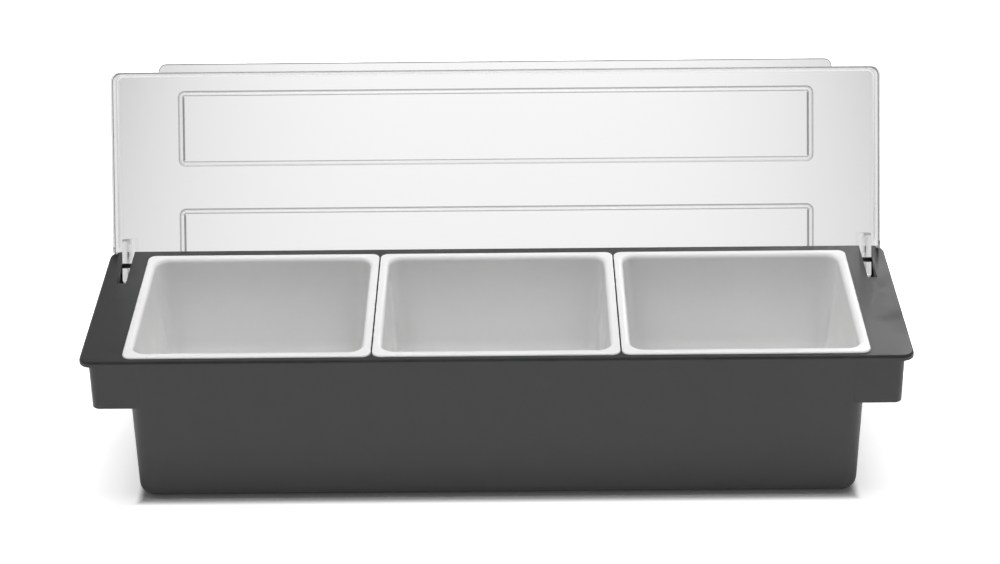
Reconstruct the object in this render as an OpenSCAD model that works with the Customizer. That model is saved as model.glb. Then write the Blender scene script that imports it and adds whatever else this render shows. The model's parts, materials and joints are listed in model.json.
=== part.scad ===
// Countertop condiment caddy: a deep tub that holds ice, three pans hung side
// by side from its flange, and one full-width clear lid that clips onto pins
// moulded across two slots at the back of the flange.
// Origin at the centre of the tub's underside, +X right, +Y back, +Z up.
// The lid is drawn open, leaning back on the tub's rear wall.

/* [Base] */
// Height of the flange's top face above the table
base_h = 102; // [85:1:130]
// Width of the tub under the flange
tub_w = 446; // [370:1:540]
// Depth of the tub from front wall to back wall
tub_d = 127; // [105:1:155]
// Wall and floor of the base
wall = 2.2; // [2:0.1:3.4]
// Lean of the tub's walls
tub_draft = 0.5; // [0:0.1:2]
// Radius of the tub's upright corners
tub_corner_r = 10; // [9:0.5:16]
// Radius where the tub's walls meet its floor
tub_floor_r = 8; // [4:0.5:8]
// Thickness of the flange
flange_t = 3.5; // [3:0.1:4.5]
// How far the flange passes the tub's side walls
flange_side = 27; // [25:0.5:35]
// How far the flange passes the tub's front wall
flange_front = 5.2; // [3:0.1:10]
// How far the flange passes the tub's back wall
flange_back = 10.6; // [9:0.1:13]
// Radius of the flange's corners
flange_corner_r = 8; // [5:0.5:12]

/* [End grips] */
// Height of a grip from its lower edge to the flange's top face
grip_h = 35.5; // [30:0.5:50]
// How far a grip's outer face stands in from the flange's edge
grip_inset = 4.8; // [3:0.2:6]
// Radius of the grips' upright corners
grip_corner_r = 5; // [4:0.5:8]

/* [Pans] */
// Height of a pan from its underside to the top of its rim
pan_h = 72; // [55:1:80]
// Wall and floor of a pan
pan_wall = 1.6; // [1.4:0.1:2.6]
// Lean of a pan's walls
pan_draft = 4.5; // [2:0.5:6]
// Radius of a pan's upright corners
pan_corner_r = 10; // [9:0.5:14]
// Radius where a pan's walls meet its floor
pan_floor_r = 14; // [5:0.5:16]
// Thickness of a pan's rim
rim_t = 1.4; // [1.2:0.1:3]
// How far the rims lie over the edge of the tub's mouth
rim_lap = 3.4; // [3:0.1:5]
// Space between a pan's neck and the tub's wall
neck_gap = 0.8; // [0.6:0.1:2]
// Space between two rims
rim_gap = 0.7; // [0.4:0.1:1.5]
// Radius of the rims' corners
rim_corner_r = 5; // [3:0.5:7]
// Radius of the roll from a rim into its pan
rim_roll_r = 3; // [1:0.5:3.5]

/* [Lid] */
// Thickness of the lid's plate
lid_t = 2.2; // [1.8:0.1:3]
// Thickness of the lid's skirt
skirt_t = 1.8; // [1.4:0.1:2.4]
// How far the lid stands in from the flange's sides
lid_inset = 3; // [2.5:0.1:5]
// Space between the lid's skirt and the rims, and under the skirt
lid_gap = 0.5; // [0.3:0.1:1]
// Radius of the lid's corners
lid_corner_r = 6; // [4:0.5:9]
// Radius of the edge between plate and skirt
lid_edge_r = 1.5; // [0.5:0.1:1.7]
// Angle from closed to open
open_angle = 116; // [114:0.5:118]
// How far the finger lip's ends stand in from the lid's sides
lip_inset = 31; // [15:1:60]
// How far the finger lip stands out from the skirt
lip_out = 5.2; // [4.4:0.2:12]
// Thickness of the finger lip
lip_t = 2; // [1.6:0.1:3]
// Radius of the finger lip's corners
lip_corner_r = 5; // [3:0.5:5]

/* [Lid panels] */
// Width of the plate between a raised panel and the lid's sides
panel_side = 41.3; // [25:0.1:60]
// Width of the plate between the front raised panel and the lid's front edge
panel_front = 12; // [8:0.1:15]
// Width of the plate between the rear raised panel and the lid's rear edge
panel_back = 7.9; // [7:0.1:15]
// Width of the plate between the two raised panels
panel_gap = 28; // [20:1:32]
// Height of a raised panel
panel_rise = 1.2; // [0.5:0.1:2]
// Width of a raised panel's sloping edge
panel_slope = 2.4; // [1.5:0.1:4]
// Radius of a raised panel's corners
panel_corner_r = 4; // [3:0.5:6]

/* [Hinge] */
// Diameter of the hinge pins
pin_d = 3; // [2.6:0.1:3.2]
// Depth of the pins' axis under the flange's top face
pin_drop = 1.9; // [1.8:0.05:2.1]
// Distance from the pins' axis to the flange's back edge
pin_inset = 17; // [14:0.5:20]
// Space between the flange's back edge and the turning lid
hinge_gap = 0.4; // [0.3:0.1:2]
// Running clearance round a pin
pin_gap = 0.1; // [0.05:0.01:0.1]
// Thickness of a hinge arm
arm_t = 3.3; // [2.6:0.1:4]
// Reach of an arm in front of the pins' axis
arm_front = 17; // [12:0.5:20]
// Reach of an arm behind the pins' axis
arm_back = 11.2; // [9:0.2:11.4]
// Reach of an arm's jaws past the pins' axis
jaw_reach = 4; // [3.5:0.1:5]
// Radius of the upper jaw's corner
jaw_corner_r = 2; // [1:0.5:3]
// Width of the gap between the jaws at its narrowest
jaw_neck = 2.6; // [2.2:0.1:2.8]
// Width of the gap between the jaws at their tips
jaw_mouth = 3.4; // [3.2:0.1:4.5]
// Space between an arm and the outer side of its slot
slot_outer_gap = 0.6; // [0.4:0.1:1]
// Space between an arm and the inner side of its slot
slot_inner_gap = 2.1; // [0.8:0.1:3]
// Distance from the pins' axis to the ends of the skirt's lower edge
skirt_back = 7.4; // [6:0.1:10]
// Space left in front of and below a turning arm
slot_clear = 2; // [1:0.5:4]
// Flange left between a slot and the grip's outer wall
slot_land = 2.4; // [1:0.2:4]
// Space between the open lid's rear edge and the tub's back wall
stop_gap = 0.4; // [0.3:0.1:1]

/* [Hidden] */

corner_steps = 6;   // sides of a quarter circle in a lofted corner
fillet_steps = 4;   // sections through a lofted fillet
edge_turn = 75;     // turn of a fillet that runs out into a flat face
floor_corner_r = 2; // what is left of an upright corner's radius at a floor
past = 1;           // overlap of a cut or a joined solid
pan_count = 3;

// Base
flange_w = tub_w + 2 * flange_side;
flange_d = flange_front + tub_d + flange_back;
flange_y = (flange_back - flange_front) / 2;
flange_back_y = tub_d / 2 + flange_back;
grip_out = flange_w / 2 - grip_inset;
grip_mid = (tub_w / 2 - tub_corner_r + grip_out) / 2;
grip_w = grip_out - tub_w / 2 + tub_corner_r;
mouth_w = tub_w - 2 * wall;
mouth_d = tub_d - 2 * wall;

// Pans
rims_w = mouth_w + 2 * rim_lap;
rim_w = (rims_w - (pan_count - 1) * rim_gap) / pan_count;
rim_d = mouth_d + 2 * rim_lap;
rim_reach = rim_lap + neck_gap;
neck_w = rim_w - 2 * rim_reach;
neck_d = rim_d - 2 * rim_reach;
pan_pitch = rim_w + rim_gap;
pan_top = base_h + rim_t;
pan_floor = pan_top - pan_h;
rim_edge_r = rim_t * 0.4;

// Hinge axis, and the lid in front of, behind and above it when closed
pin_y = flange_back_y - pin_inset;
pin_z = base_h - pin_drop;
plate_z = norm([pin_inset, pin_drop]) + hinge_gap;
lean = open_angle - 90;
lid_w = flange_w - 2 * lid_inset;
lid_front = pin_y + rim_d / 2 + lid_gap + skirt_t;
lid_back = (pin_y + plate_z * cos(lean) - tub_d / 2 - stop_gap) / sin(lean);
lid_d = lid_front + lid_back;
lid_y = (lid_back - lid_front) / 2;
skirt_z = pin_drop + lid_gap;
slot_out = grip_out - wall - slot_land;
slot_w = slot_outer_gap + arm_t + slot_inner_gap;
slot_front_y = pin_y - norm([arm_front, plate_z]) - slot_clear - past;
slot_floor_z = pin_z - plate_z * sin(lean) - arm_back * cos(lean) - slot_clear / 2;
arm_x = slot_out - slot_outer_gap - arm_t;
skirt_end = (pin_drop + past + plate_z * sin(lean)) / cos(lean);
panel_w = lid_w - 2 * panel_side;
panel_d = (lid_d - panel_front - panel_gap - panel_back) / 2;

// Points of a rounded rectangle w by d with corners of radius r, at height z
function ring(w, d, r, z) = [
    for (corner = [0:3], step = [0:corner_steps])
        let (turn = 90 * (corner + step / corner_steps),
             side_x = corner == 0 || corner == 3 ? 1 : -1,
             side_y = corner < 2 ? 1 : -1)
        [side_x * (w / 2 - r) + r * cos(turn), side_y * (d / 2 - r) + r * sin(turn), z]
];

// Sections [w, d, r, z] of a box that widens upwards from a rounded floor edge
function tapered_box(w, d, r, z_floor, z_top, draft, floor_r) = concat(
    [for (step = [0:fillet_steps])
        let (turn = 90 * step / fillet_steps,
             z = z_floor + floor_r * (1 - cos(turn)),
             curve = floor_r * (1 - sin(turn)),
             pull = 2 * (curve + (z_top - z) * tan(draft)))
        [w - pull, d - pull, r - (r - floor_corner_r) * curve / floor_r, z]],
    [[w, d, r, z_top]]
);

// Sections of an upright rounded box whose top edge has radius edge_r
function eased_box(w, d, r, z_low, z_top, edge_r) = concat(
    [[w, d, r, z_low]],
    [for (step = [0:fillet_steps])
        let (turn = 90 * step / fillet_steps,
             curve = edge_r * (1 - cos(turn)))
        [w - 2 * curve, d - 2 * curve, r - curve, z_top - edge_r * (1 - sin(turn))]]
);

// A solid skinned over sections, each a rounded rectangle [w, d, r, z]
module loft(sections) {
    count = 4 * (corner_steps + 1);
    last = len(sections) - 1;
    points = [for (s = sections) each ring(s[0], s[1], s[2], s[3])];
    floor_face = [for (i = [0:count - 1]) i];
    top_face = [for (i = [count - 1:-1:0]) last * count + i];
    side_faces = [
        for (level = [0:last - 1], i = [0:count - 1])
            let (low = level * count, next = (i + 1) % count)
            [low + i, low + count + i, low + count + next, low + next]
    ];
    polyhedron(points, concat([floor_face], side_faces, [top_face]), convexity = 4);
}

// A plate with round corners, w by d, standing on z = 0
module rounded_plate(w, d, r, h) {
    linear_extrude(h) {
        square([w - 2 * r, d], center = true);
        square([w, d - 2 * r], center = true);
        for (x = [-1, 1], y = [-1, 1])
            translate([x * (w / 2 - r), y * (d / 2 - r)])
                circle(r, $fn = 48);
    }
}

// Base: tub, flange, open-bottomed end grips, hinge slots and their pins
module tub_outside() {
    loft(tapered_box(tub_w, tub_d, tub_corner_r, 0, base_h - flange_t / 2,
                     tub_draft, tub_floor_r));
}

module tub_inside() {
    loft(concat(
        tapered_box(mouth_w, mouth_d, tub_corner_r - wall, wall, base_h - flange_t / 2,
                    tub_draft, tub_floor_r - wall),
        [[mouth_w, mouth_d, tub_corner_r - wall, base_h + past]]));
}

module flange() {
    translate([0, flange_y, base_h - flange_t])
        rounded_plate(flange_w, flange_d, flange_corner_r, flange_t);
}

module grip_outside() {
    translate([grip_mid, 0, base_h - grip_h])
        rounded_plate(grip_w, tub_d, grip_corner_r, grip_h - flange_t / 2);
}

module grip_inside() {
    inside_w = grip_out - wall - tub_w / 2;
    translate([tub_w / 2 + inside_w / 2, 0, base_h - grip_h - past])
        rounded_plate(inside_w, mouth_d, grip_corner_r - wall, grip_h + past - flange_t);
}

module hinge_slot() {
    translate([slot_out - slot_w, slot_front_y, slot_floor_z])
        cube([slot_w, flange_back_y - slot_front_y + past, base_h - slot_floor_z + past]);
}

module hinge_pin() {
    translate([slot_out - slot_w - past, pin_y, pin_z])
        rotate([0, 90, 0])
            cylinder(d = pin_d, h = slot_w + 2 * past, $fn = 48);
}

module base() {
    color("#3b3c3e") {
        difference() {
            union() {
                tub_outside();
                flange();
                for (side = [0, 1])
                    mirror([side, 0, 0]) grip_outside();
            }
            tub_inside();
            for (side = [0, 1])
                mirror([side, 0, 0]) {
                    grip_inside();
                    hinge_slot();
                }
        }
        for (side = [0, 1])
            mirror([side, 0, 0]) hinge_pin();
    }
}

// Pans: tapered trays hung from a rounded rim
module pan_inside() {
    inside_w = neck_w - 2 * pan_wall;
    inside_d = neck_d - 2 * pan_wall;
    inside_r = pan_corner_r - pan_wall;
    roll = [
        for (step = [1:fillet_steps])
            let (turn = edge_turn * step / fillet_steps,
                 curve = rim_roll_r * (1 - cos(turn)))
            [inside_w + 2 * curve, inside_d + 2 * curve, inside_r + curve,
             pan_top - rim_roll_r * (1 - sin(turn))]
    ];
    mouth = roll[fillet_steps - 1];
    loft(concat(
        tapered_box(inside_w, inside_d, inside_r, pan_floor + pan_wall,
                    pan_top - rim_roll_r, pan_draft, pan_floor_r - pan_wall),
        roll,
        [[mouth[0], mouth[1], mouth[2], pan_top + past]]));
}

module pan(place) {
    color("#f2f2f0")
        translate([(place - (pan_count - 1) / 2) * pan_pitch, 0, 0])
            difference() {
                union() {
                    loft(tapered_box(neck_w, neck_d, pan_corner_r, pan_floor,
                                     base_h + rim_t / 2, pan_draft, pan_floor_r));
                    loft(eased_box(rim_w, rim_d, rim_corner_r, base_h, pan_top,
                                   rim_edge_r));
                }
                pan_inside();
            }
}

// Lid, drawn closed with the pins' axis on the x axis
module lid_outside() {
    translate([0, lid_y, 0])
        loft(eased_box(lid_w, lid_d, lid_corner_r, skirt_z, plate_z + lid_t, lid_edge_r));
}

module lid_inside() {
    translate([0, lid_y, 0])
        loft([[lid_w - 2 * skirt_t, lid_d - 2 * skirt_t, lid_corner_r - skirt_t,
               skirt_z - past],
              [lid_w - 2 * skirt_t, lid_d - 2 * skirt_t, lid_corner_r - skirt_t, plate_z]]);
}

// The skirt ends near the hinge, and its end slants to clear the flange with the lid open
module skirt_cut() {
    far = lid_back + past;
    slant_z = (skirt_back * cos(lean) - pin_drop - past) / sin(lean);
    translate([-lid_w / 2 - past, 0, 0])
        rotate([90, 0, 90])
            linear_extrude(lid_w + 2 * past)
                polygon([[-skirt_back, skirt_z - past], [-skirt_back, slant_z],
                         [-skirt_end, plate_z], [far, plate_z], [far, skirt_z - past]]);
}

module finger_lip() {
    lip_d = lip_out + 2 * lip_corner_r;
    translate([0, -lid_front - lip_out + lip_d / 2, skirt_z])
        rounded_plate(lid_w - 2 * lip_inset, lip_d, lip_corner_r, lip_t);
}

module lip_trim() {
    translate([-lid_w / 2, skirt_t - lid_front, skirt_z - past])
        cube([lid_w, 3 * lip_corner_r, lip_t + 2 * past]);
}

// The step of one raised panel above z_low, or of the hollow under it
module panel_step(place, shrink, z_low) {
    w = panel_w - 2 * shrink;
    d = panel_d - 2 * shrink;
    centre = -lid_front + panel_front + panel_d / 2 + place * (panel_d + panel_gap);
    top_w = w - 2 * panel_slope;
    top_d = d - 2 * panel_slope;
    translate([0, centre, 0])
        loft([[w, d, panel_corner_r, z_low - past / 2],
              [w, d, panel_corner_r, z_low],
              [top_w, top_d, panel_corner_r - panel_slope / 2, z_low + panel_rise]]);
}

// The plate keeps its thickness round the step's slope
panel_shrink = lid_t * tan(atan(panel_rise / panel_slope) / 2);

module arm_profile() {
    corner_y = jaw_corner_r - arm_front;
    corner_z = jaw_corner_r - jaw_reach;
    root_z = plate_z + lid_t / 2;
    jaw_end = arm_back - jaw_reach / 2;
    difference() {
        union() {
            polygon([[-arm_front, root_z], [-arm_front, corner_z], [corner_y, -jaw_reach],
                     [jaw_end, -jaw_reach], [arm_back, 0], [arm_back, root_z]]);
            translate([corner_y, corner_z])
                circle(jaw_corner_r, $fn = 48);
        }
        polygon([[-jaw_neck / 2, 0], [-jaw_neck / 2, -jaw_reach / 2],
                 [-jaw_mouth / 2, -jaw_reach - past], [jaw_mouth / 2, -jaw_reach - past],
                 [jaw_neck / 2, -jaw_reach / 2], [jaw_neck / 2, 0]]);
    }
}

module hinge_arm() {
    difference() {
        translate([arm_x, 0, 0])
            rotate([90, 0, 90])
                linear_extrude(arm_t)
                    arm_profile();
        translate([arm_x - past, 0, 0])
            rotate([0, 90, 0])
                cylinder(r = pin_d / 2 + pin_gap, h = arm_t + 2 * past, $fn = 48);
    }
}

module closed_lid() {
    difference() {
        union() {
            lid_outside();
            for (place = [0, 1])
                panel_step(place, 0, plate_z + lid_t);
        }
        lid_inside();
        skirt_cut();
        for (place = [0, 1])
            panel_step(place, panel_shrink, plate_z);
    }
    difference() {
        finger_lip();
        lip_trim();
    }
    for (side = [0, 1])
        mirror([side, 0, 0]) hinge_arm();
}

module lid() {
    color("#e6ebee", 0.45)
        translate([0, pin_y, pin_z])
            rotate([-open_angle, 0, 0])
                closed_lid();
}

base();
pan(0);  // pan_left
pan(1);  // pan_middle
pan(2);  // pan_right
lid();
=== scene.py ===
import json
import math

import bmesh
import bpy
from mathutils import Matrix, Vector


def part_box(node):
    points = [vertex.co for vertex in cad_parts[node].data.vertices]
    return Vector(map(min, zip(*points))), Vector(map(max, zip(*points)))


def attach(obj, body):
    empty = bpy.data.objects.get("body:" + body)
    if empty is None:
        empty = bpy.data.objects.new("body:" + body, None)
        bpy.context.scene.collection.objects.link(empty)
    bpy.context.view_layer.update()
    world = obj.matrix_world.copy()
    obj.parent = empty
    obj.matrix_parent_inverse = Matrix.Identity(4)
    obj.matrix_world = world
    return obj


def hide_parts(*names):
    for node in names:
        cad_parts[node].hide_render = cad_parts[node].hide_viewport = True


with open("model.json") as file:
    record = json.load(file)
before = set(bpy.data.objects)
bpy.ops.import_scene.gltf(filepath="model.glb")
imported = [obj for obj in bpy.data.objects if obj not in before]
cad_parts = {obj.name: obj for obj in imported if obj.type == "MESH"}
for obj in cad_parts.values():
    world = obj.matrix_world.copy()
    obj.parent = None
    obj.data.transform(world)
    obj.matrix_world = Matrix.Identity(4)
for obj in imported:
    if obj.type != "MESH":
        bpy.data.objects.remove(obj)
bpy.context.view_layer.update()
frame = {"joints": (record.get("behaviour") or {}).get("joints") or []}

# Sizes, in metres. Those of the frame come first, then the ones the frame doesn't give.
MM = 0.001
base_low, base_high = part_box("base")
pan_low, pan_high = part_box("pan_middle")
left_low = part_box("pan_left")[0]
hinge = next(joint for joint in frame["joints"] if joint["name"] == "lid_hinge")
HINGE_AXIS = Vector(hinge["pos_m"])
OPEN_ANGLE = math.radians(hinge["range_deg"][1])

FLANGE_TOP = base_high.z
FLANGE_W = base_high.x - base_low.x
FLANGE_D = base_high.y - base_low.y
FLANGE_Y = (base_high.y + base_low.y) / 2
FLANGE_T = 3.5 * MM
FLANGE_CORNER_R = 8 * MM
FLANGE_EDGE_R = 1.8 * MM
BASE_EDGE_R = 0.6 * MM    # on the base's other edges
TUB_W = 446 * MM
TUB_D = 127 * MM
TUB_DRAFT = math.radians(0.5)
TUB_CORNER_R = 10 * MM
TUB_FLOOR_R = 8 * MM
WALL = 2.2 * MM
GRIP_H = 35.5 * MM
GRIP_INSET = 4.8 * MM
GRIP_CORNER_R = 5 * MM

RIM_TOP = pan_high.z
RIM_T = RIM_TOP - FLANGE_TOP
RIM_W = pan_high.x - pan_low.x
RIM_D = pan_high.y - pan_low.y
RIM_REACH = 4.2 * MM
RIM_CORNER_R = 5 * MM
RIM_EDGE_R = 0.9 * MM
ROLL_R = 3 * MM
PAN_BOTTOM = pan_low.z
PAN_PITCH = pan_low.x - left_low.x
PAN_WALL = 1.6 * MM
PAN_DRAFT = math.radians(4.5)
PAN_CORNER_R = 10 * MM
PAN_FLOOR_R = 14 * MM
FLOOR_CORNER_R = 2 * MM   # what is left of an upright corner's radius at a floor

PIN_R = 1.5 * MM
PIN_GAP = 0.1 * MM
PIN_INSET = base_high.y - HINGE_AXIS.y
PIN_DROP = FLANGE_TOP - HINGE_AXIS.z
HINGE_GAP = 0.4 * MM      # between the flange's back edge and the turning lid
STOP_GAP = 0.4 * MM       # between the open lid's rear edge and the tub's back wall
LID_INSET = 6 * MM        # how much shorter the lid is than the flange, both ends together
PLATE_Z = math.hypot(PIN_INSET, PIN_DROP) + HINGE_GAP
LID_T = 2.2 * MM
SKIRT_T = 1.8 * MM
LID_GAP = 0.5 * MM
LID_W = FLANGE_W - LID_INSET
LID_FRONT = HINGE_AXIS.y + RIM_D / 2 + LID_GAP + SKIRT_T
LEAN = OPEN_ANGLE - math.pi / 2
LID_BACK = (HINGE_AXIS.y + PLATE_Z * math.cos(LEAN) - TUB_D / 2 - STOP_GAP) / math.sin(LEAN)
LID_D = LID_FRONT + LID_BACK
LID_Y = (LID_BACK - LID_FRONT) / 2
SKIRT_Z = PIN_DROP + LID_GAP
LID_CORNER_R = 6 * MM
LID_EDGE_R = 1.5 * MM
SKIRT_BACK = 7.4 * MM
FOOT_R = 0.4 * MM       # bevel of the skirt's lower edge
ROOT_R = 0.8 * MM       # fillet between skirt and plate, inside
EASE_MARGIN = 0.4 * MM  # a narrow ring beside a rounded edge, which keeps its shading narrow
LIP_INSET = 31 * MM
LIP_OUT = 5.2 * MM
LIP_T = 2 * MM
LIP_CORNER_R = 5 * MM
LIP_EDGE_R = 0.9 * MM
LIP_EDGE_SEGMENTS = 5
LIP_STEP = 0.05 * MM     # how far the lip stands off the skirt's lower edge
LIP_LINE = 0.8           # strength of the painted shade line along the lip's outline

PANEL_SIDE = 41.3 * MM
PANEL_FRONT = 12 * MM
PANEL_BACK = 7.9 * MM
PANEL_GAP = 28 * MM
PANEL_W = LID_W - 2 * PANEL_SIDE
PANEL_D = (LID_D - PANEL_FRONT - PANEL_GAP - PANEL_BACK) / 2
PANEL_RISE = 1.2 * MM
PANEL_SLOPE = 2.4 * MM
PANEL_CORNER_R = 4 * MM
PANEL_BEND_R = 0.9 * MM
PANEL_SHRINK = LID_T * math.tan(math.atan2(PANEL_RISE, PANEL_SLOPE) / 2)
BEND_REACH = 0.55 * MM  # how far a bend's shading reaches to each side
BEND_FLAT = 0.25 * MM   # how far it keeps its full strength
BEND_STEPS = 4
LEAST_CORNER_R = 0.8 * MM
# Strength of the painted shade lines along a panel's lower and upper bends
FOOT_LINES = {"side": 0.75, "front": 0.85, "back": 0.50}
HEAD_LINES = {"side": 0.95, "front": 0.95, "back": 0.90}

ARM_T = 3.3 * MM
ARM_FRONT = 17 * MM
ARM_BACK = 11.2 * MM
JAW_REACH = 4 * MM
JAW_CORNER_R = 2 * MM
JAW_NECK = 2.6 * MM
JAW_MOUTH = 3.4 * MM
JAW_STEPS = 6
ARM_EDGE_R = 0.3 * MM
ARM_END_SHADE = 1.0       # strength of the painted shade on an arm's front end
ARM_SIDE_SHADE = 0.4      # and on the rest of it
SLOT_LAND = 2.4 * MM     # flange left between a slot and the grip's outer wall
SLOT_OUTER_GAP = 0.6 * MM
SLOT_FRONT_GAP = 3 * MM
SLOT_FLOOR_GAP = 1 * MM
SLOT_OUT = FLANGE_W / 2 - GRIP_INSET - WALL - SLOT_LAND
SLOT_W = 6 * MM
ARM_X = SLOT_OUT - SLOT_OUTER_GAP - ARM_T
SLOT_FRONT_Y = HINGE_AXIS.y - math.hypot(ARM_FRONT, PLATE_Z) - SLOT_FRONT_GAP
SLOT_FLOOR_Z = (HINGE_AXIS.z - PLATE_Z * math.sin(LEAN) - ARM_BACK * math.cos(LEAN)
                - SLOT_FLOOR_GAP)

CORNER_SEGMENTS = 10
FILLET_SEGMENTS = 6
PAST = MM               # how far a cutter passes what it cuts
SHARP = math.radians(32)
EDGE_FACE = 0.5 * MM    # the widest face that counts as part of a rounded edge
FLAT = math.cos(math.radians(2))  # faces that turn less than this lie flat together
WELD = 1e-7             # points nearer than this become one
TOUCH = 0.1 * MM        # how near a point counts as on a face
OUTER_SKIN = 0.8        # share of the plate's thickness above which a point is on its outside


# Modelling

def rounded_loop(bm, width, depth, radius, z, centre=(0, 0)):
    """The edges of a flat rounded rectangle at height z."""
    before = set(bm.edges)
    place = Matrix.Translation((*centre, z)) @ Matrix.Diagonal((width, depth, 1, 1))
    corners = bmesh.ops.create_grid(bm, x_segments=1, y_segments=1, size=0.5, matrix=place)["verts"]
    bmesh.ops.bevel(bm, geom=corners, offset=radius, offset_type="OFFSET", affect="VERTICES",
                    segments=CORNER_SEGMENTS, profile=0.5, material=-1)
    edges = [edge for edge in bm.edges if edge not in before]
    face = edges[0].link_faces[0]
    bmesh.ops.delete(bm, geom=[face], context="FACES_ONLY")
    return edges


def loft(bm, outlines, centre=(0, 0)):
    """A skin over flat rounded rectangles (width, depth, radius, z). Returns its end loops."""
    first = loop = rounded_loop(bm, *outlines[0], centre)
    for (w, d, r, z), (next_w, next_d, next_r, next_z) in zip(outlines, outlines[1:]):
        made = bmesh.ops.extrude_edge_only(bm, edges=loop)["geom"]
        verts = {item for item in made if isinstance(item, bmesh.types.BMVert)}
        for vert in verts:
            side_x = math.copysign(1, vert.co.x - centre[0])
            side_y = math.copysign(1, vert.co.y - centre[1])
            corner = Vector((centre[0] + side_x * (w / 2 - r), centre[1] + side_y * (d / 2 - r), z))
            moved = Vector((centre[0] + side_x * (next_w / 2 - next_r),
                            centre[1] + side_y * (next_d / 2 - next_r), next_z))
            vert.co = moved + (vert.co - corner) * next_r / r
        loop = [item for item in made
                if isinstance(item, bmesh.types.BMEdge) and verts.issuperset(item.verts)]
    return first, loop


def cap(bm, *loops):
    """A flat face inside the first loop, with holes at the others."""
    edges = [edge for loop in loops for edge in loop]
    if len(loops) == 1:
        bmesh.ops.edgeloop_fill(bm, edges=edges)
    else:
        bmesh.ops.triangle_fill(bm, edges=edges, use_beauty=True, normal=(0, 0, 1))


def new_piece(name, bm):
    """An object that holds what was modelled, with its faces outwards."""
    bmesh.ops.remove_doubles(bm, verts=bm.verts, dist=WELD)
    bmesh.ops.recalc_face_normals(bm, faces=bm.faces)
    mesh = bpy.data.meshes.new(name)
    bm.to_mesh(mesh)
    bm.free()
    piece = bpy.data.objects.new(name, mesh)
    bpy.context.scene.collection.objects.link(piece)
    return piece


def settle(piece):
    """Applies the piece's modifiers to its mesh."""
    graph = bpy.context.evaluated_depsgraph_get()
    mesh = bpy.data.meshes.new_from_object(piece.evaluated_get(graph))
    piece.modifiers.clear()
    piece.data = mesh


def combine(piece, operation, *tools):
    """Adds the tools to the piece, or cuts them out of it, and removes them."""
    for tool in tools:
        modifier = piece.modifiers.new("combine", "BOOLEAN")
        modifier.operation = operation
        modifier.solver = "EXACT"
        modifier.object = tool
        settle(piece)
        bpy.data.objects.remove(tool)
    return piece


def ease_edges(piece, width, segments=2):
    """Rounds every sharp edge of the piece."""
    modifier = piece.modifiers.new("ease", "BEVEL")
    modifier.width = width
    modifier.segments = segments
    modifier.limit_method = "ANGLE"
    modifier.angle_limit = SHARP
    modifier.use_clamp_overlap = True
    modifier.miter_outer = "MITER_ARC"
    settle(piece)
    return piece


def block(name, low, high):
    """A plain box between two corners, used as a cutter."""
    bm = bmesh.new()
    centre = (Vector(low) + Vector(high)) / 2
    size = Vector(high) - Vector(low)
    place = Matrix.Translation(centre) @ Matrix.Diagonal((*size, 1))
    bmesh.ops.create_cube(bm, size=1, matrix=place)
    return new_piece(name, bm)


def plate(name, width, depth, radius, low, high, centre=(0, 0)):
    """A solid plate with round corners, standing upright between two heights."""
    bm = bmesh.new()
    for end in loft(bm, [(width, depth, radius, z) for z in (low, high)], centre):
        cap(bm, end)
    return new_piece(name, bm)


def rod(name, radius, low_x, high_x, y, z):
    """A round bar along X."""
    bm = bmesh.new()
    place = (Matrix.Translation(((low_x + high_x) / 2, y, z))
             @ Matrix.Rotation(math.pi / 2, 4, "Y"))
    bmesh.ops.create_cone(bm, cap_ends=True, segments=32, radius1=radius, radius2=radius,
                          depth=high_x - low_x, matrix=place)
    return new_piece(name, bm)


def prism(name, outline, low_x, high_x):
    """A bar along X with the outline [(y, z), ...]."""
    bm = bmesh.new()
    corners = [bm.verts.new((low_x, y, z)) for y, z in outline]
    face = bm.faces.new(corners)
    made = bmesh.ops.extrude_face_region(bm, geom=[face])["geom"]
    moved = [item for item in made if isinstance(item, bmesh.types.BMVert)]
    bmesh.ops.translate(bm, verts=moved, vec=(high_x - low_x, 0, 0))
    return new_piece(name, bm)


def mirrored(name, maker):
    """What maker builds on the right, on both sides."""
    right = maker(name + "_right")
    left = maker(name + "_left")
    left.data.transform(Matrix.Scale(-1, 4, (1, 0, 0)))
    left.data.flip_normals()
    return right, left


def tapered_box(width, depth, radius, floor, top, draft, floor_r):
    """Outlines up a box that widens upwards from a rounded floor edge."""
    outlines = []
    for step in range(FILLET_SEGMENTS + 1):
        turn = math.pi / 2 * step / FILLET_SEGMENTS
        z = floor + floor_r * (1 - math.cos(turn))
        curve = floor_r * (1 - math.sin(turn))
        pull = 2 * (curve + (top - z) * math.tan(draft))
        corner = radius - (radius - FLOOR_CORNER_R) * curve / floor_r
        outlines.append((width - pull, depth - pull, corner, z))
    return outlines + [(width, depth, radius, top)]


def rounded_edge(width, depth, radius, top, edge_r, side=1):
    """Outlines up a rounded top edge. It leans inwards, or outwards where side is -1."""
    outlines = []
    for step in range(FILLET_SEGMENTS + 1):
        turn = math.pi / 2 * step / FILLET_SEGMENTS
        curve = side * edge_r * (1 - math.cos(turn))
        outlines.append((width - 2 * curve, depth - 2 * curve, radius - curve,
                         top - edge_r * (1 - math.sin(turn))))
    return outlines


def inset(outline, margin):
    """The same flat outline drawn in by a margin."""
    width, depth, radius, z = outline
    return width - 2 * margin, depth - 2 * margin, radius - margin, z


# Base

def tapered_tub(name, width, depth, radius, floor, top, floor_r):
    bm = bmesh.new()
    for end in loft(bm, tapered_box(width, depth, radius, floor, top, TUB_DRAFT, floor_r)):
        cap(bm, end)
    return new_piece(name, bm)


def grip_outside(name):
    outer_x = FLANGE_W / 2 - GRIP_INSET
    inner_x = TUB_W / 2 - TUB_CORNER_R
    return plate(name, outer_x - inner_x, TUB_D, GRIP_CORNER_R, FLANGE_TOP - GRIP_H,
                 FLANGE_TOP - FLANGE_T / 2, ((outer_x + inner_x) / 2, 0))


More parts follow.
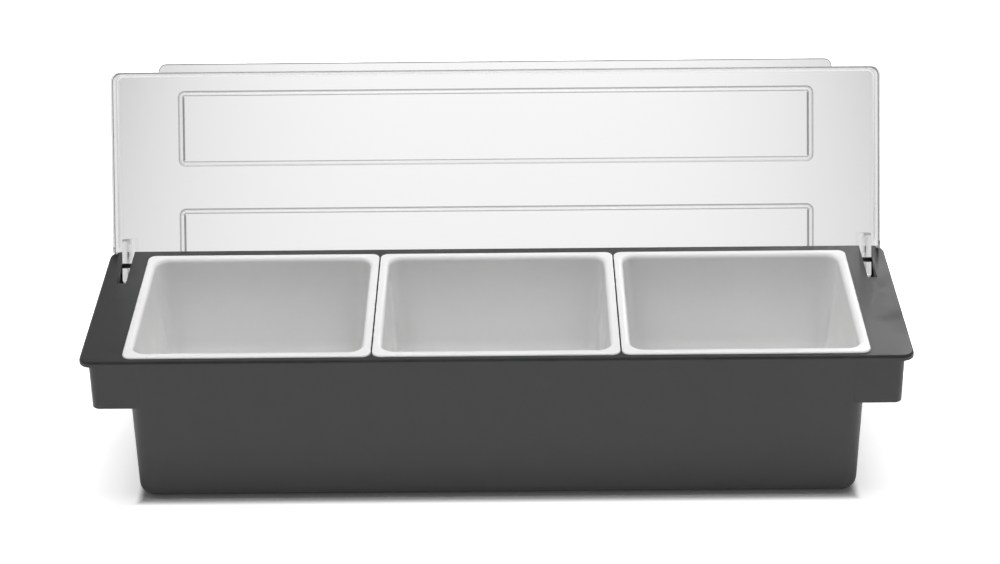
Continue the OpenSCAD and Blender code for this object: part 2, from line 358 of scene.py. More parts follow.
def grip_inside(name):
    outer_x = FLANGE_W / 2 - GRIP_INSET - WALL
    inner_x = TUB_W / 2
    return plate(name, outer_x - inner_x, TUB_D - 2 * WALL, GRIP_CORNER_R - WALL,
                 FLANGE_TOP - GRIP_H - PAST, FLANGE_TOP - FLANGE_T,
                 ((outer_x + inner_x) / 2, 0))


def hinge_slot(name):
    return block(name, (SLOT_OUT - SLOT_W, SLOT_FRONT_Y, SLOT_FLOOR_Z),
                 (SLOT_OUT, base_high.y + PAST, FLANGE_TOP + PAST))


def hinge_pin(name):
    return rod(name, PIN_R, SLOT_OUT - SLOT_W - PAST, SLOT_OUT + PAST,
               HINGE_AXIS.y, HINGE_AXIS.z)


def flange():
    bm = bmesh.new()
    outlines = [(FLANGE_W, FLANGE_D, FLANGE_CORNER_R, FLANGE_TOP - FLANGE_T)]
    outlines += rounded_edge(FLANGE_W, FLANGE_D, FLANGE_CORNER_R, FLANGE_TOP, FLANGE_EDGE_R)
    for end in loft(bm, outlines, (0, FLANGE_Y)):
        cap(bm, end)
    return new_piece("base_moulding", bm)


def build_base():
    base = flange()
    tub = tapered_tub("tub", TUB_W, TUB_D, TUB_CORNER_R, 0, FLANGE_TOP - FLANGE_T / 2,
                      TUB_FLOOR_R)
    combine(base, "UNION", tub, *mirrored("grip", grip_outside))
    well = tapered_tub("well", TUB_W - 2 * WALL, TUB_D - 2 * WALL, TUB_CORNER_R - WALL,
                       WALL, FLANGE_TOP + PAST, TUB_FLOOR_R - WALL)
    combine(base, "DIFFERENCE", well, *mirrored("hollow", grip_inside),
            *mirrored("slot", hinge_slot))
    ease_edges(base, BASE_EDGE_R)
    combine(base, "UNION", *mirrored("pin", hinge_pin))
    return base


# Pans

def build_pan(name, centre_x):
    neck_w, neck_d = RIM_W - 2 * RIM_REACH, RIM_D - 2 * RIM_REACH
    inside_w, inside_d = neck_w - 2 * PAN_WALL, neck_d - 2 * PAN_WALL
    inside_r = PAN_CORNER_R - PAN_WALL
    outside = tapered_box(neck_w, neck_d, PAN_CORNER_R, PAN_BOTTOM, FLANGE_TOP,
                          PAN_DRAFT, PAN_FLOOR_R)
    rim = [(RIM_W, RIM_D, RIM_CORNER_R, FLANGE_TOP)]
    rim += rounded_edge(RIM_W, RIM_D, RIM_CORNER_R, RIM_TOP, RIM_EDGE_R)
    roll = rounded_edge(inside_w, inside_d, inside_r, RIM_TOP, ROLL_R, -1)
    inside = tapered_box(inside_w, inside_d, inside_r, PAN_BOTTOM + PAN_WALL,
                         RIM_TOP - ROLL_R, PAN_DRAFT, PAN_FLOOR_R - PAN_WALL)
    bm = bmesh.new()
    for end in loft(bm, outside + rim + roll[::-1] + inside[-2::-1]):
        cap(bm, end)
    bmesh.ops.translate(bm, verts=bm.verts, vec=(centre_x, 0, 0))
    return new_piece(name, bm)


# Lid, modelled closed round the hinge's axis and then opened

def panel_centres():
    first = -LID_FRONT + PANEL_FRONT + PANEL_D / 2
    return first, first + PANEL_D + PANEL_GAP


def step_profile(bend_low, bend_high):
    """(inward, rise) along a panel's sloping edge, with both of its bends rounded."""
    slope = math.atan2(PANEL_RISE, PANEL_SLOPE)
    points = [(-BEND_REACH, 0)]
    for (inward, rise), radius, sign in (((0, 0), bend_low, 1),
                                         ((PANEL_SLOPE, PANEL_RISE), bend_high, -1)):
        reach = radius * math.tan(slope / 2)
        start = (inward - reach, rise) if sign > 0 else (
            inward - reach * math.cos(slope), rise - reach * math.sin(slope))
        for step in range(BEND_STEPS + 1):
            turn = slope * step / BEND_STEPS
            if sign > 0:
                points.append((start[0] + radius * math.sin(turn),
                               start[1] + radius * (1 - math.cos(turn))))
            else:
                tilt = slope - turn
                points.append((start[0] + radius * (math.sin(slope) - math.sin(tilt)),
                               start[1] + radius * (math.cos(tilt) - math.cos(slope))))
    between = [(inward, inward * PANEL_RISE / PANEL_SLOPE)
               for inward in (BEND_REACH, PANEL_SLOPE / 2, PANEL_SLOPE - BEND_REACH)]
    points[2 + BEND_STEPS:2 + BEND_STEPS] = between
    return points + [(PANEL_SLOPE + BEND_REACH, PANEL_RISE),
                     (PANEL_SLOPE + 2 * BEND_REACH, PANEL_RISE),
                     (PANEL_SLOPE + 3 * BEND_REACH, PANEL_RISE)]


def panel_step(bm, centre_y, shrink, z, bend_low, bend_high):
    """The skin of one raised panel. Returns the loop round its foot."""
    outlines = []
    for inward, rise in step_profile(bend_low, bend_high):
        inward += shrink
        outlines.append((PANEL_W - 2 * inward, PANEL_D - 2 * inward,
                         max(PANEL_CORNER_R - inward, LEAST_CORNER_R), z + rise))
    foot, head = loft(bm, outlines, (0, centre_y))
    cap(bm, head)
    return foot


def panel_edge(x, y):
    """How deep a point of the closed lid's plate lies in the nearer panel, and the
    direction out of the panel across its nearest edge."""
    found = []
    for centre_y in panel_centres():
        past_x = abs(x) - PANEL_W / 2 + PANEL_CORNER_R
        past_y = abs(y - centre_y) - PANEL_D / 2 + PANEL_CORNER_R
        away = Vector((max(past_x, 0), max(past_y, 0)))
        if past_x <= 0 and past_y <= 0:
            away = Vector((past_x > past_y, past_x <= past_y))
        depth = PANEL_CORNER_R - min(max(past_x, past_y), 0) - math.hypot(max(past_x, 0),
                                                                          max(past_y, 0))
        found.append((depth, math.copysign(away.x, x), math.copysign(away.y, y - centre_y)))
    depth, out_x, out_y = max(found)
    return depth, Vector((out_x, out_y)).normalized()


def lip_edge(x, y):
    """How deep a point of the closed lid's lip lies inside the lip's outline."""
    past_x = abs(x) - LID_W / 2 + LIP_INSET + LIP_CORNER_R
    past_y = -y - LID_FRONT - LIP_OUT + LIP_CORNER_R
    return LIP_CORNER_R - min(max(past_x, past_y), 0) - math.hypot(max(past_x, 0),
                                                                   max(past_y, 0))


def fade(distance, flat, reach):
    """1 up to the flat distance, then falling to 0 at the reach."""
    return min(1, max(0, (reach - distance) / (reach - flat)))


def mark_lid(lid):
    """The attributes "bend", the strength of the painted shade line along a panel's bend or the
    lip's outline, "slope", 1 midway between two bends, where a faint painted shade lies, and
    "thick", the painted shade and the roughness of the hinge arms."""
    mesh = lid.data
    bend = mesh.attributes.new("bend", "FLOAT", "POINT").data
    slope = mesh.attributes.new("slope", "FLOAT", "POINT").data
    thick = mesh.attributes.new("thick", "FLOAT", "POINT").data
    for index, vert in enumerate(mesh.vertices):
        depth, out = panel_edge(vert.co.x, vert.co.y)
        outer = vert.co.z > PLATE_Z + LID_T * OUTER_SKIN
        if not outer:
            depth -= PANEL_SHRINK
        end = "front" if out.y < 0 else "back"
        foot = FOOT_LINES["side"] * out.x ** 2 + FOOT_LINES[end] * out.y ** 2
        head = HEAD_LINES["side"] * out.x ** 2 + HEAD_LINES[end] * out.y ** 2
        past = depth - PANEL_SLOPE
        wide = out.x ** 2 * fade(past, 2 * BEND_REACH, 3 * BEND_REACH) * (past > 0)
        bend[index].value = outer * max(foot * fade(abs(depth), BEND_FLAT, BEND_REACH),
                                        head * fade(abs(past), BEND_FLAT, BEND_REACH),
                                        HEAD_LINES["side"] * wide)
        slope[index].value = fade(abs(depth - PANEL_SLOPE / 2), 0, PANEL_SLOPE / 2)
        if vert.co.y < -LID_FRONT - LIP_STEP:
            bend[index].value = LIP_LINE * fade(lip_edge(vert.co.x, vert.co.y),
                                                LIP_EDGE_R / 2, LIP_EDGE_R)
        # Painted shade on the hinge arms, stronger on their front ends; the same mark sets their
        # roughness
        beside = ARM_X - TOUCH < abs(vert.co.x) < ARM_X + ARM_T + TOUCH
        arm = beside and vert.co.z < PLATE_Z - TOUCH
        end_face = vert.co.y < PAST - ARM_FRONT
        thick[index].value = arm * (ARM_END_SHADE if end_face else ARM_SIDE_SHADE)


def lid_shell():
    """The plate with its raised panels, and a skirt all round it."""
    top = PLATE_Z + LID_T
    centre = (0, LID_Y)
    outside = [(LID_W - 2 * FOOT_R, LID_D - 2 * FOOT_R, LID_CORNER_R - FOOT_R, SKIRT_Z),
               (LID_W, LID_D, LID_CORNER_R, SKIRT_Z + FOOT_R)]
    outside += rounded_edge(LID_W, LID_D, LID_CORNER_R, top, LID_EDGE_R)
    outside.append(inset(outside[-1], EASE_MARGIN))
    inner_w, inner_d = LID_W - 2 * SKIRT_T, LID_D - 2 * SKIRT_T
    inner_r = LID_CORNER_R - SKIRT_T
    inside = [(inner_w, inner_d, inner_r, SKIRT_Z)]
    inside += rounded_edge(inner_w, inner_d, inner_r, PLATE_Z, ROOT_R)
    inside.append(inset(inside[-1], EASE_MARGIN))
    bm = bmesh.new()
    rim, crown = loft(bm, inside[::-1] + outside, centre)
    above = [panel_step(bm, y, 0, top, PANEL_BEND_R, PANEL_BEND_R) for y in panel_centres()]
    below = [panel_step(bm, y, PANEL_SHRINK, PLATE_Z, PANEL_BEND_R, PANEL_BEND_R)
             for y in panel_centres()]
    cap(bm, crown, *above)
    cap(bm, rim, *below)
    return new_piece("clear_lid", bm)


def skirt_cut():
    """The skirt ends near the hinge, and its end slants to clear the flange when open."""
    clear = PIN_DROP + MM
    slant_z = (SKIRT_BACK * math.cos(LEAN) - clear) / math.sin(LEAN)
    end = (clear + PLATE_Z * math.sin(LEAN)) / math.cos(LEAN)
    low, far = SKIRT_Z - PAST, LID_BACK + PAST
    outline = [(-SKIRT_BACK, low), (-SKIRT_BACK, slant_z), (-end, PLATE_Z), (far, PLATE_Z),
               (far, low)]
    return prism("skirt_cut", outline, -LID_W / 2 - PAST, LID_W / 2 + PAST)


def finger_lip():
    depth = LIP_OUT + SKIRT_T / 2 + 2 * LIP_CORNER_R
    lip = plate("lip", LID_W - 2 * LIP_INSET, depth, LIP_CORNER_R, SKIRT_Z + LIP_STEP,
                SKIRT_Z + LIP_T, (0, -LID_FRONT - LIP_OUT + depth / 2))
    trim = block("trim", (-LID_W / 2, -LID_FRONT + SKIRT_T / 2, SKIRT_Z - PAST),
                 (LID_W / 2, -LID_FRONT + depth, SKIRT_Z + LIP_T + PAST))
    combine(lip, "DIFFERENCE", trim)
    return ease_edges(lip, LIP_EDGE_R, LIP_EDGE_SEGMENTS)


def hinge_arm(name):
    root = PLATE_Z + LID_T / 2
    corner_y, corner_z = JAW_CORNER_R - ARM_FRONT, JAW_CORNER_R - JAW_REACH
    arc = [(corner_y - JAW_CORNER_R * math.cos(turn), corner_z - JAW_CORNER_R * math.sin(turn))
           for turn in (math.pi / 2 * step / JAW_STEPS for step in range(JAW_STEPS + 1))]
    outline = [(-ARM_FRONT, root), *arc, (ARM_BACK - JAW_REACH / 2, -JAW_REACH),
               (ARM_BACK, 0), (ARM_BACK, root)]
    arm = prism(name, outline, ARM_X, ARM_X + ARM_T)
    bore = rod("bore", PIN_R + PIN_GAP, ARM_X - PAST, ARM_X + ARM_T + PAST, 0, 0)
    half_neck, half_mouth = JAW_NECK / 2, JAW_MOUTH / 2
    mouth = prism("mouth", [(-half_neck, 0), (-half_neck, -JAW_REACH / 2),
                            (-half_mouth, -JAW_REACH - PAST), (half_mouth, -JAW_REACH - PAST),
                            (half_neck, -JAW_REACH / 2), (half_neck, 0)],
                  ARM_X - PAST, ARM_X + ARM_T + PAST)
    combine(arm, "DIFFERENCE", bore, mouth)
    return ease_edges(arm, ARM_EDGE_R)


def build_lid():
    lid = combine(lid_shell(), "DIFFERENCE", skirt_cut())
    combine(lid, "UNION", finger_lip(), *mirrored("arm", hinge_arm))
    mark_lid(lid)
    opened = Matrix.Translation(HINGE_AXIS) @ Matrix.Rotation(-OPEN_ANGLE, 4, "X")
    lid.data.transform(opened)
    return lid


# Shader helpers. A value given to them is a number or an output socket.

def connect(tree, value, socket):
    if isinstance(value, bpy.types.NodeSocket):
        tree.links.new(value, socket)
    else:
        socket.default_value = value


def calculate(tree, operation, *values):
    node = tree.nodes.new("ShaderNodeMath")
    node.operation = operation
    for value, socket in zip(values, node.inputs):
        connect(tree, value, socket)
    return node.outputs[0]


def ramp(tree, value, low, high, start=0.0, end=1.0, smooth=False):
    """A value that goes from low to high as the other goes from start to end."""
    node = tree.nodes.new("ShaderNodeMapRange")
    node.interpolation_type = "SMOOTHSTEP" if smooth else "LINEAR"
    for name, given in (("Value", value), ("From Min", start), ("From Max", end),
                        ("To Min", low), ("To Max", high)):
        connect(tree, given, node.inputs[name])
    return node.outputs[0]


def mix_colour(tree, factor, low, high):
    node = tree.nodes.new("ShaderNodeMix")
    node.data_type = "RGBA"
    for name, given in (("Factor_Float", factor), ("A_Color", low), ("B_Color", high)):
        socket = next(item for item in node.inputs if item.identifier == name)
        connect(tree, given if isinstance(given, (float, bpy.types.NodeSocket)) else (*given, 1),
                socket)
    return next(item for item in node.outputs if item.identifier == "Result_Color")


def noise(tree, place, size, detail=2.0, stretch=None):
    """Noise with features of about the given size in metres, longer along one axis if asked."""
    if stretch:
        longer = tree.nodes.new("ShaderNodeMapping")
        longer.inputs["Scale"].default_value = stretch
        tree.links.new(place, longer.inputs["Vector"])
        place = longer.outputs[0]
    node = tree.nodes.new("ShaderNodeTexNoise")
    node.inputs["Detail"].default_value = detail
    tree.links.new(place, node.inputs["Vector"])
    connect(tree, calculate(tree, "DIVIDE", 1.0, size), node.inputs["Scale"])
    return node.outputs["Fac"]


def node_group(name, inputs, outputs):
    """A shader group with inputs {name: value} and outputs [name], all plain numbers, and Place."""
    tree = bpy.data.node_groups.new(name, "ShaderNodeTree")
    tree.interface.new_socket("Place", in_out="INPUT", socket_type="NodeSocketVector")
    for label, value in inputs.items():
        tree.interface.new_socket(label, in_out="INPUT",
                                  socket_type="NodeSocketFloat").default_value = value
    for label in outputs:
        tree.interface.new_socket(label, in_out="OUTPUT", socket_type="NodeSocketFloat")
    return (tree, tree.nodes.new("NodeGroupInput").outputs,
            tree.nodes.new("NodeGroupOutput").inputs)


def moulded_skin():
    """What the mould's steel leaves on a moulding: a fine grain, a slow ripple and mottling."""
    tree, given, made = node_group("moulded_skin", {"Grain Size": 0.0004, "Grain Depth": 2e-6,
                                                    "Ripple Size": 0.006, "Ripple Depth": 3e-6},
                                   ["Height", "Mottle"])
    place = given["Place"]
    grain = calculate(tree, "MULTIPLY", noise(tree, place, given["Grain Size"]),
                      given["Grain Depth"])
    ripple = calculate(tree, "MULTIPLY", noise(tree, place, given["Ripple Size"], 1.0),
                       given["Ripple Depth"])
    tree.links.new(calculate(tree, "ADD", grain, ripple), made["Height"])
    tree.links.new(ramp(tree, noise(tree, place, 0.03, 4.0), 0, 1, 0.3, 0.7), made["Mottle"])
    return tree


def hair_lines(tree, place, stretch, width):
    """Thin long lines where a stretched noise crosses its middle value, broken into strokes."""
    field = noise(tree, place, 0.004, 1.0, stretch)
    off = calculate(tree, "ABSOLUTE", calculate(tree, "SUBTRACT", field, 0.5))
    line = ramp(tree, off, 1, 0, 0.0, width)
    strokes = ramp(tree, noise(tree, place, 0.02, 1.0), 0, 1, 0.52, 0.62)
    return calculate(tree, "MULTIPLY", line, strokes)


def handling():
    """What use leaves: hairline scratches both ways, and soft scuffs."""
    tree, given, made = node_group("handling", {"Scratches": 1.0, "Scuffs": 1.0},
                                   ["Scratch", "Scuff"])
    place = given["Place"]
    across = hair_lines(tree, place, (0.06, 1.0, 1.3), 0.012)
    along = hair_lines(tree, place, (1.2, 0.08, 0.09), 0.010)
    both = calculate(tree, "MAXIMUM", across, along)
    tree.links.new(calculate(tree, "MULTIPLY", both, given["Scratches"]), made["Scratch"])
    scuff = ramp(tree, noise(tree, place, 0.018, 5.0), 0, 1, 0.5, 0.75, smooth=True)
    tree.links.new(calculate(tree, "MULTIPLY", scuff, given["Scuffs"]), made["Scuff"])
    return tree


def edge_rub():
    """Where edges are rubbed: the edge mask broken up by noise."""
    tree, given, made = node_group("edge_rub", {"Edge": 0.0}, ["Rub"])
    patches = ramp(tree, noise(tree, given["Place"], 0.007, 4.0), 0.25, 1, 0.35, 0.65)
    tree.links.new(calculate(tree, "MULTIPLY", given["Edge"], patches), made["Rub"])
    return tree


SKIN, HANDLING, RUB = moulded_skin(), handling(), edge_rub()


class Finish:
    """A material being built: its tree, its shader and the place on the piece."""

    def __init__(self, name):
        self.material = bpy.data.materials.new(name)
        self.material.use_nodes = True
        self.tree = self.material.node_tree
        self.shader = self.tree.nodes["Principled BSDF"]
        self.place = self.tree.nodes.new("ShaderNodeTexCoord").outputs["Object"]

    def set(self, **values):
        for name, value in values.items():
            connect(self.tree, value, self.shader.inputs[name.replace("_", " ")])

    def group(self, group, **values):
        node = self.tree.nodes.new("ShaderNodeGroup")
        node.node_tree = group
        self.tree.links.new(self.place, node.inputs["Place"])
        for name, value in values.items():
            connect(self.tree, value, node.inputs[name.replace("_", " ")])
        return node.outputs

    def attribute(self, name):
        node = self.tree.nodes.new("ShaderNodeAttribute")
        node.attribute_name = name
        return node.outputs["Fac"]

    def bump(self, height):
        """Bump from a height in metres."""
        node = self.tree.nodes.new("ShaderNodeBump")
        node.inputs["Distance"].default_value = 1
        self.tree.links.new(height, node.inputs["Height"])
        self.tree.links.new(node.outputs["Normal"], self.shader.inputs["Normal"])


CHARCOAL_DARK = (0.020, 0.0204, 0.0208)
CHARCOAL_LIGHT = (0.025, 0.0254, 0.0258)
CHARCOAL_SCUFFED = (0.036, 0.0365, 0.037)
CHARCOAL_RUBBED = (0.050, 0.051, 0.052)
WHITE_DARK = (0.830, 0.830, 0.827)
WHITE_LIGHT = (0.850, 0.850, 0.847)
WHITE_SCRATCHED = (0.62, 0.62, 0.60)
CLEAR_TINT = (0.984, 0.986, 0.987)
CLEAR_SCRATCHED = (0.75, 0.75, 0.75)
SLOPE_PAINTED_SHADE = (0.95, 0.95, 0.95)   # painted shade on the slope round a panel
BEND_PAINTED_SHADE = (0.05, 0.05, 0.05)    # painted shade along its bends
ARM_PAINTED_SHADE = (0.22, 0.22, 0.22)     # painted shade on the thick hinge arms
EDGE_ROUGH = 0.5
ARM_ROUGH = 0.3


def charcoal_plastic():
    finish = Finish("charcoal_plastic")
    tree = finish.tree
    skin = finish.group(SKIN, Grain_Size=0.4 * MM, Grain_Depth=0.008 * MM,
                        Ripple_Size=7 * MM, Ripple_Depth=0.010 * MM)
    use = finish.group(HANDLING, Scratches=0.6, Scuffs=0.7)
    rub = finish.group(RUB, Edge=finish.attribute("edge"))["Rub"]
    colour = mix_colour(tree, skin["Mottle"], CHARCOAL_DARK, CHARCOAL_LIGHT)
    colour = mix_colour(tree, calculate(tree, "MULTIPLY", use["Scuff"], 0.25), colour,
                        CHARCOAL_SCUFFED)
    colour = mix_colour(tree, calculate(tree, "MULTIPLY", rub, 0.3), colour,
                        CHARCOAL_RUBBED)
    rough = ramp(tree, skin["Mottle"], 0.36, 0.44)
    rough = calculate(tree, "ADD", rough, calculate(tree, "MULTIPLY", use["Scuff"], 0.10))
    rough = calculate(tree, "SUBTRACT", rough, calculate(tree, "MULTIPLY", use["Scratch"], 0.12))
    finish.set(Base_Color=colour, Roughness=rough)
    finish.bump(skin["Height"])
    return finish.material


def white_plastic():
    finish = Finish("white_plastic")
    tree = finish.tree
    skin = finish.group(SKIN, Grain_Size=0.8 * MM, Grain_Depth=0.0015 * MM,
                        Ripple_Size=9 * MM, Ripple_Depth=0.006 * MM)
    use = finish.group(HANDLING, Scratches=0.5, Scuffs=0.3)
    rub = finish.group(RUB, Edge=finish.attribute("edge"))["Rub"]
    colour = mix_colour(tree, skin["Mottle"], WHITE_DARK, WHITE_LIGHT)
    colour = mix_colour(tree, calculate(tree, "MULTIPLY", use["Scratch"], 0.12), colour,
                        WHITE_SCRATCHED)
    rough = ramp(tree, skin["Mottle"], 0.16, 0.22)
    rough = calculate(tree, "ADD", rough, calculate(tree, "MULTIPLY", use["Scuff"], 0.12))
    rough = calculate(tree, "ADD", rough, calculate(tree, "MULTIPLY", rub, 0.15))
    finish.set(Base_Color=colour, Roughness=rough, Subsurface_Weight=0.6,
               Subsurface_Radius=(1, 1, 1), Subsurface_Scale=2 * MM)
    finish.bump(skin["Height"])
    return finish.material


def clear_plastic():
    finish = Finish("clear_plastic")
    tree = finish.tree
    skin = finish.group(SKIN, Grain_Size=1.5 * MM, Grain_Depth=0.0003 * MM,
                        Ripple_Size=22 * MM, Ripple_Depth=0.006 * MM)
    use = finish.group(HANDLING, Scratches=0.6, Scuffs=0.6)
    # Painted shade: a faint one on the slopes round the panels
    colour = mix_colour(tree, finish.attribute("slope"), CLEAR_TINT, SLOPE_PAINTED_SHADE)
    # Painted shade: dark lines along the panels' bends and the lip's outline
    colour = mix_colour(tree, finish.attribute("bend"), colour, BEND_PAINTED_SHADE)
    # Painted shade: grey on the hinge arms, darkest on their front ends
    colour = mix_colour(tree, finish.attribute("thick"), colour, ARM_PAINTED_SHADE)
    colour = mix_colour(tree, calculate(tree, "MULTIPLY", use["Scratch"], 0.15), colour,
                        CLEAR_SCRATCHED)
    rough = calculate(tree, "ADD", 0.015, calculate(tree, "MULTIPLY", use["Scuff"], 0.03))
    rough = calculate(tree, "MAXIMUM", rough,
                      calculate(tree, "MULTIPLY", finish.attribute("edge"), EDGE_ROUGH))
    rough = calculate(tree, "MAXIMUM", rough,
                      calculate(tree, "MULTIPLY", finish.attribute("thick"), ARM_ROUGH))
    finish.set(Base_Color=colour, Roughness=rough, Transmission_Weight=1.0, IOR=1.58)
    finish.bump(skin["Height"])
    return finish.material


charcoal, white, clear = charcoal_plastic(), white_plastic(), clear_plastic()


# Pieces

def face_width(face):
    return face.calc_area() / max(edge.calc_length() for edge in face.edges)


def mark_edges(bm):
    """The attribute "edge": 1 where only the narrow faces of a rounded edge meet."""
    layer = bm.verts.layers.float.new("edge")
    bm.normal_update()
    for vert in bm.verts:
        faces = vert.link_faces
        narrow = all(face_width(face) < EDGE_FACE for face in faces)
        turns = any(face.normal.dot(faces[0].normal) < FLAT for face in faces)
        vert[layer] = float(narrow and turns)


def dress(piece, material, body):
    """Smooth faces, the finish, and the CAD node the piece stands for."""
    mesh = piece.data
    bm = bmesh.new()
    bm.from_mesh(mesh)
    bmesh.ops.remove_doubles(bm, verts=bm.verts, dist=WELD)
    for face in bm.faces:
        face.smooth = True
    for edge in bm.edges:
        edge.smooth = len(edge.link_faces) == 2 and edge.calc_face_angle() < SHARP
    mark_edges(bm)
    bm.to_mesh(mesh)
    bm.free()
    modifier = piece.modifiers.new("weighted", "WEIGHTED_NORMAL")
    modifier.keep_sharp = True
    mesh.materials.clear()
    mesh.materials.append(material)
    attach(piece, body)
    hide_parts(body)


dress(build_base(), charcoal, "base")
for index, body in enumerate(("pan_left", "pan_middle", "pan_right")):
    dress(build_pan(body + "_tray", (index - 1) * PAN_PITCH), white, body)
dress(build_lid(), clear, "lid")


# Stage

def build_floor():
    """A white floor. What the camera sees clips to white with a painted glow, but keeps the
    object's shadow close round the tub's foot. Seen through the lid, its glow paints shade on the
    lid.
    """
    bm = bmesh.new()
    bmesh.ops.create_grid(bm, x_segments=1, y_segments=1, size=FLOOR_REACH)
    floor = new_piece("floor", bm)
    floor.location.z = -FLOOR_DROP
    material = bpy.data.materials.new("floor_white")
    material.use_nodes = True
    tree = material.node_tree
    tree.nodes.remove(tree.nodes["Principled BSDF"])
    path = tree.nodes.new("ShaderNodeLightPath").outputs
    place = tree.nodes.new("ShaderNodeTexCoord").outputs["Object"]
    split = tree.nodes.new("ShaderNodeSeparateXYZ")
    tree.links.new(place, split.inputs[0])
    tone = ramp(tree, path["Is Glossy Ray"], FLOOR_COLOUR, FLOOR_MIRRORED)
    tone = ramp(tree, path["Is Transmission Ray"], tone, 0)
    tone = ramp(tree, path["Is Camera Ray"], tone, FLOOR_SEEN)
    surface = tree.nodes.new("ShaderNodeBsdfDiffuse")
    tree.links.new(tone, surface.inputs["Color"])
    distance = tree.nodes.new("ShaderNodeVectorMath")
    distance.operation = "LENGTH"
    tree.links.new(place, distance.inputs[0])
    away = ramp(tree, distance.outputs["Value"], 0, 1, *SHADOW_FADE, smooth=True)
    # Painted shade seen through the lid: the glow behind the caddy falls off towards both sides
    across = calculate(tree, "ABSOLUTE", split.outputs["X"])
    aside = calculate(tree, "DIVIDE", across, THROUGH_SIDE)
    fall = calculate(tree, "POWER", aside, THROUGH_POWER)
    middle = ramp(tree, split.outputs["Y"], *THROUGH_LID, *THROUGH_DEPTH)
    through = calculate(tree, "SUBTRACT", middle, calculate(tree, "MULTIPLY", fall, THROUGH_FALL))
    through = calculate(tree, "MAXIMUM", through, THROUGH_LEAST)
    near = ramp(tree, split.outputs["Y"], 0, 1, *THROUGH_NEAR, smooth=True)
    far = ramp(tree, split.outputs["Y"], 1, 0, *THROUGH_FAR, smooth=True)
    wide = ramp(tree, across, 1, 0, *THROUGH_WIDE, smooth=True)
    behind = calculate(tree, "MULTIPLY", calculate(tree, "MULTIPLY", near, far), wide)
    through = ramp(tree, behind, THROUGH_ELSEWHERE, through)
    # Painted light: the glow that lifts the floor to white fades out close round the tub's foot
    beside = calculate(tree, "SUBTRACT", across, FOOT_W / 2)
    before = calculate(tree, "SUBTRACT", calculate(tree, "ABSOLUTE", split.outputs["Y"]),
                       FOOT_D / 2)
    lift = calculate(tree, "MAXIMUM", ramp(tree, beside, *SIDE_LIFT, *SIDE_REACH, smooth=True),
                     ramp(tree, before, *FRONT_LIFT, *FRONT_REACH, smooth=True))
    seen = calculate(tree, "MAXIMUM", away, lift)
    seen = calculate(tree, "MULTIPLY", seen, path["Is Camera Ray"])
    glow = tree.nodes.new("ShaderNodeEmission")
    tree.links.new(ramp(tree, path["Is Transmission Ray"], seen, through),
                   glow.inputs["Strength"])
    add = tree.nodes.new("ShaderNodeAddShader")
    tree.links.new(surface.outputs[0], add.inputs[0])
    tree.links.new(glow.outputs[0], add.inputs[1])
    tree.links.new(add.outputs[0], tree.nodes["Material Output"].inputs["Surface"])
    floor.data.materials.append(material)


def build_world():
    """A studio that is white to the camera and through the lid. What gloss mirrors of it is
    greyer, more so overhead, and dark in front."""
    world = bpy.data.worlds.new("studio")
    bpy.context.scene.world = world
    world.use_nodes = True
    tree = world.node_tree
    path = tree.nodes.new("ShaderNodeLightPath").outputs
    split = tree.nodes.new("ShaderNodeSeparateXYZ")
    tree.links.new(tree.nodes.new("ShaderNodeTexCoord").outputs["Generated"], split.inputs[0])
    level = {}
    for ray, value in WORLD_LEVELS.items():
        node = tree.nodes.new("ShaderNodeValue")
        node.label = ray + " level"
        node.outputs[0].default_value = value
        level[ray] = node.outputs[0]
    mirrored_sky = ramp(tree, split.outputs["Z"], level["glossy"],
                        calculate(tree, "MULTIPLY", level["glossy"], SKY_FALL), *SKY_FADE,
                        smooth=True)
    mirrored_sky = calculate(tree, "MULTIPLY", mirrored_sky,
                             ramp(tree, split.outputs["Y"], FRONT_DARK, 1, *FRONT_FADE,
                                  smooth=True))
    strength = ramp(tree, path["Is Glossy Ray"], level["diffuse"], mirrored_sky)
    strength = ramp(tree, path["Is Transmission Ray"], strength, level["transmission"])
    strength = ramp(tree, path["Is Camera Ray"], strength, level["camera"])
    tree.links.new(strength, tree.nodes["Background"].inputs["Strength"])
    tree.nodes["Background"].inputs["Color"].default_value = (1, 1, 1, 1)


def area_light(name, place, aim, size, energy, mirrored):
    data = bpy.data.lights.new(name, "AREA")
    data.shape = "RECTANGLE"
    data.size, data.size_y = size
    data.energy = energy
    light = bpy.data.objects.new(name, data)
    light.location = place
    light.rotation_euler = (Vector(aim) - Vector(place)).to_track_quat("-Z", "Y").to_euler()
    light.visible_glossy = mirrored
    light.visible_transmission = mirrored
    bpy.context.scene.collection.objects.link(light)


FLOOR_REACH = 6
FLOOR_DROP = 0.0002         # keeps the floor off the tub's underside
FLOOR_COLOUR = 0.86         # what the floor throws back on the object
FLOOR_SEEN = 0.9            # its colour to the camera
FLOOR_MIRRORED = 1.35       # its colour in what gloss mirrors
# Tone of the floor's glow seen through the clear lid, which paints shade on the lid. It is 1 but on
# the patch behind the caddy, where it goes from near to far and falls off towards both sides.
THROUGH_ELSEWHERE = 1.0
THROUGH_LID = (0.94, 1.0)
THROUGH_DEPTH = (0.2, 0.6)
THROUGH_SIDE = 0.31         # how far to the side it has lost THROUGH_FALL
THROUGH_FALL = 0.29
THROUGH_POWER = 3.2
THROUGH_LEAST = 0.25
THROUGH_NEAR = (0.0, 0.12)  # where the patch fades in and out, from the object's middle
THROUGH_FAR = (0.65, 0.85)
THROUGH_WIDE = (0.34, 0.42)
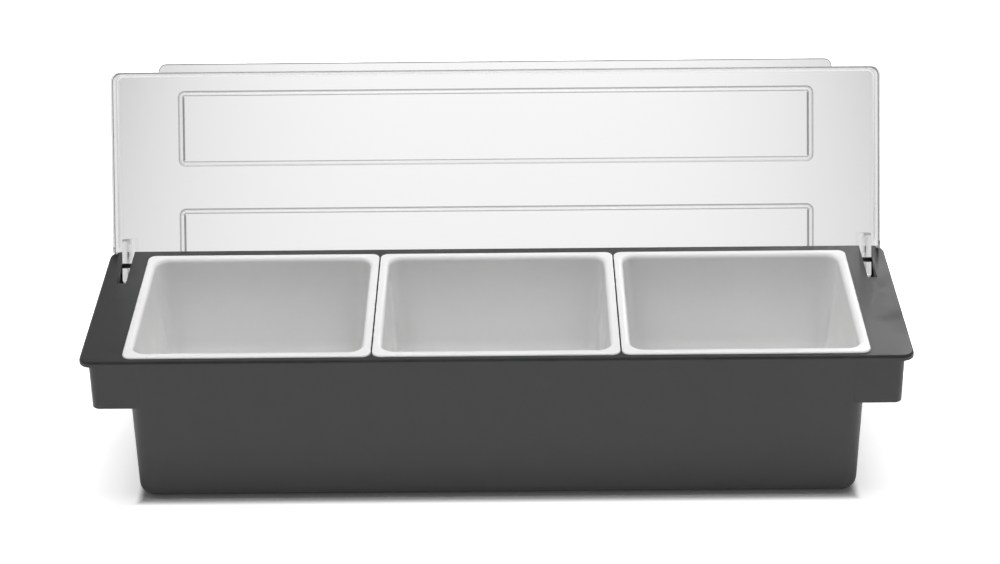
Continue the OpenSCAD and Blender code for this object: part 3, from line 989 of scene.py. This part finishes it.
# To the camera a painted glow lifts the floor to white, but for the shadow round the tub's foot.
SHADOW_FADE = (0.35, 0.6)
FOOT_W = 444 * MM
FOOT_D = 126 * MM
SIDE_LIFT = (0.0, 0.61)
SIDE_REACH = (-3 * MM, 3 * MM)
FRONT_LIFT = (0.0, 0.9)
FRONT_REACH = (0, 9 * MM)
WORLD_LEVELS = {"diffuse": 0.17, "glossy": 0.5, "transmission": 1.0, "camera": 1.0}
SKY_FALL = 0.3              # share of the mirrored sky that is left overhead
SKY_FADE = (0.65, 0.95)
FRONT_DARK = 0.02           # share of it that is left in front
FRONT_FADE = (-0.3, 0.2)
# Place, aim, size, energy, and whether it is mirrored and seen through the lid
LIGHTS = {
    "top_box": ((0, 0.13, 1.5), (0, 0.1, 0.1), (1.3, 0.8), 20.2, False),
    "front_low": ((0, -1.8, 0.07), (0, 0, 0.07), (1.6, 0.12), 16, False),
    "back_low": ((0, 1.4, 0.8), (0, 0, 0.1), (1.4, 0.4), 3, False),
    "back_right": ((0.75, 1.5, 0.9), (0, 0, 0.1), (0.6, 0.5), 5.3, True),
}


def build_camera():
    """The view: from the front and above, a little turned and rolled."""
    focal_px, tilt, roll, turn = 2370, math.radians(28.64), math.radians(-0.67), math.radians(-0.37)
    frame_px = 1000
    distance, aim_x, aim_z = 1.468, 2.4 * MM, 13.6 * MM
    forward = Vector((0, math.cos(tilt), -math.sin(tilt)))
    upward = Vector((0, math.sin(tilt), math.cos(tilt)))
    right = Vector((1, 0, 0))
    place = Vector((aim_x, 0, aim_z)) - distance * forward
    rolled_right = math.cos(roll) * right + math.sin(roll) * upward
    rolled_up = math.cos(roll) * upward - math.sin(roll) * right
    turned = Matrix.Rotation(-turn, 4, "Z")
    basis = Matrix((rolled_right, rolled_up, -forward)).transposed().to_4x4()
    data = bpy.data.cameras.new("camera")
    data.sensor_width = 36
    data.sensor_fit = "HORIZONTAL"
    data.lens = focal_px * data.sensor_width / frame_px
    camera = bpy.data.objects.new("camera", data)
    middle = Matrix.Translation((0, FLANGE_Y, FLANGE_TOP))
    camera.matrix_world = middle @ turned @ Matrix.Translation(place) @ basis
    bpy.context.scene.collection.objects.link(camera)
    bpy.context.scene.camera = camera


build_floor()
build_world()
for name, setting in LIGHTS.items():
    area_light(name, *setting)
build_camera()
bpy.context.scene.view_settings.view_transform = "Standard"
